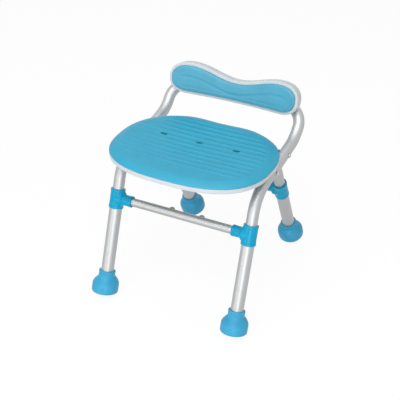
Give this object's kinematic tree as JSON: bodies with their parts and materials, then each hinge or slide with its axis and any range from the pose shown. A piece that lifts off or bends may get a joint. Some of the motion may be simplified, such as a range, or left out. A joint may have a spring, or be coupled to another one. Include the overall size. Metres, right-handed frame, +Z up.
{
  "type": "folding shower chair",
  "caption": "Low folding shower chair with a ribbed foam seat, waved backrest and splayed tubular legs on round rubber feet.",
  "frame": {"origin": "centre of the bounding box on the floor, with the chair open and standing", "axes": "+Z up, -Y towards the front of the seat, +X towards the chair's right-hand side seen from the front"},
  "size_m": [0.3848, 0.4454, 0.4359],
  "materials": {
    "anodised_tube": "satin anodised, drawn along the tube",
    "fastener_steel": "plain, lightly brushed",
    "blue_foam": "closed-cell foam skin, soft sheen",
    "blue_plastic": "moulded, half gloss",
    "blue_rubber": "matt moulded rubber",
    "white_plastic": "moulded, half gloss",
    "yellow_rubber": "soft matt rubber"
  },
  "bodies": {
    "frame": {"frame_tube": "anodised_tube", "front_crossbar": "anodised_tube", "backrest_shell": "white_plastic", "backrest_pad": "blue_foam", "front_leg_left": "anodised_tube", "front_tee_left": "blue_plastic", "front_foot_left": "blue_rubber", "crossbar_buffer_left": "yellow_rubber", "pivot_pin_left": "fastener_steel", "pivot_washer_left": "fastener_steel", "stop_pin_left": "fastener_steel", "backrest_screw_left": "fastener_steel", "front_leg_right": "anodised_tube", "front_tee_right": "blue_plastic", "front_foot_right": "blue_rubber", "crossbar_buffer_right": "yellow_rubber", "pivot_pin_right": "fastener_steel", "pivot_washer_right": "fastener_steel", "stop_pin_right": "fastener_steel", "backrest_screw_right": "fastener_steel"},
    "folding_seat_and_rear_legs": {"rear_crossbar": "anodised_tube", "seat_shell": "white_plastic", "seat_pad": "blue_foam", "rear_leg_upper_left": "anodised_tube", "rear_leg_lower_left": "anodised_tube", "rear_tee_left": "blue_plastic", "rear_foot_left": "blue_rubber", "seat_arm_left": "fastener_steel", "arm_rivet_left": "fastener_steel", "seat_screw_left_front": "fastener_steel", "seat_screw_left_middle": "fastener_steel", "seat_screw_left_rear": "fastener_steel", "rear_leg_upper_right": "anodised_tube", "rear_leg_lower_right": "anodised_tube", "rear_tee_right": "blue_plastic", "rear_foot_right": "blue_rubber", "seat_arm_right": "fastener_steel", "arm_rivet_right": "fastener_steel", "seat_screw_right_front": "fastener_steel", "seat_screw_right_middle": "fastener_steel", "seat_screw_right_rear": "fastener_steel"}
  },
  "joints": [
    {"name": "fold", "type": "hinge", "parent": "frame", "child": "folding_seat_and_rear_legs", "pos_m": [0, 0.06065, 0.3159], "axis": [-1, 0, 0], "range_deg": [0, 60]}
  ]
}
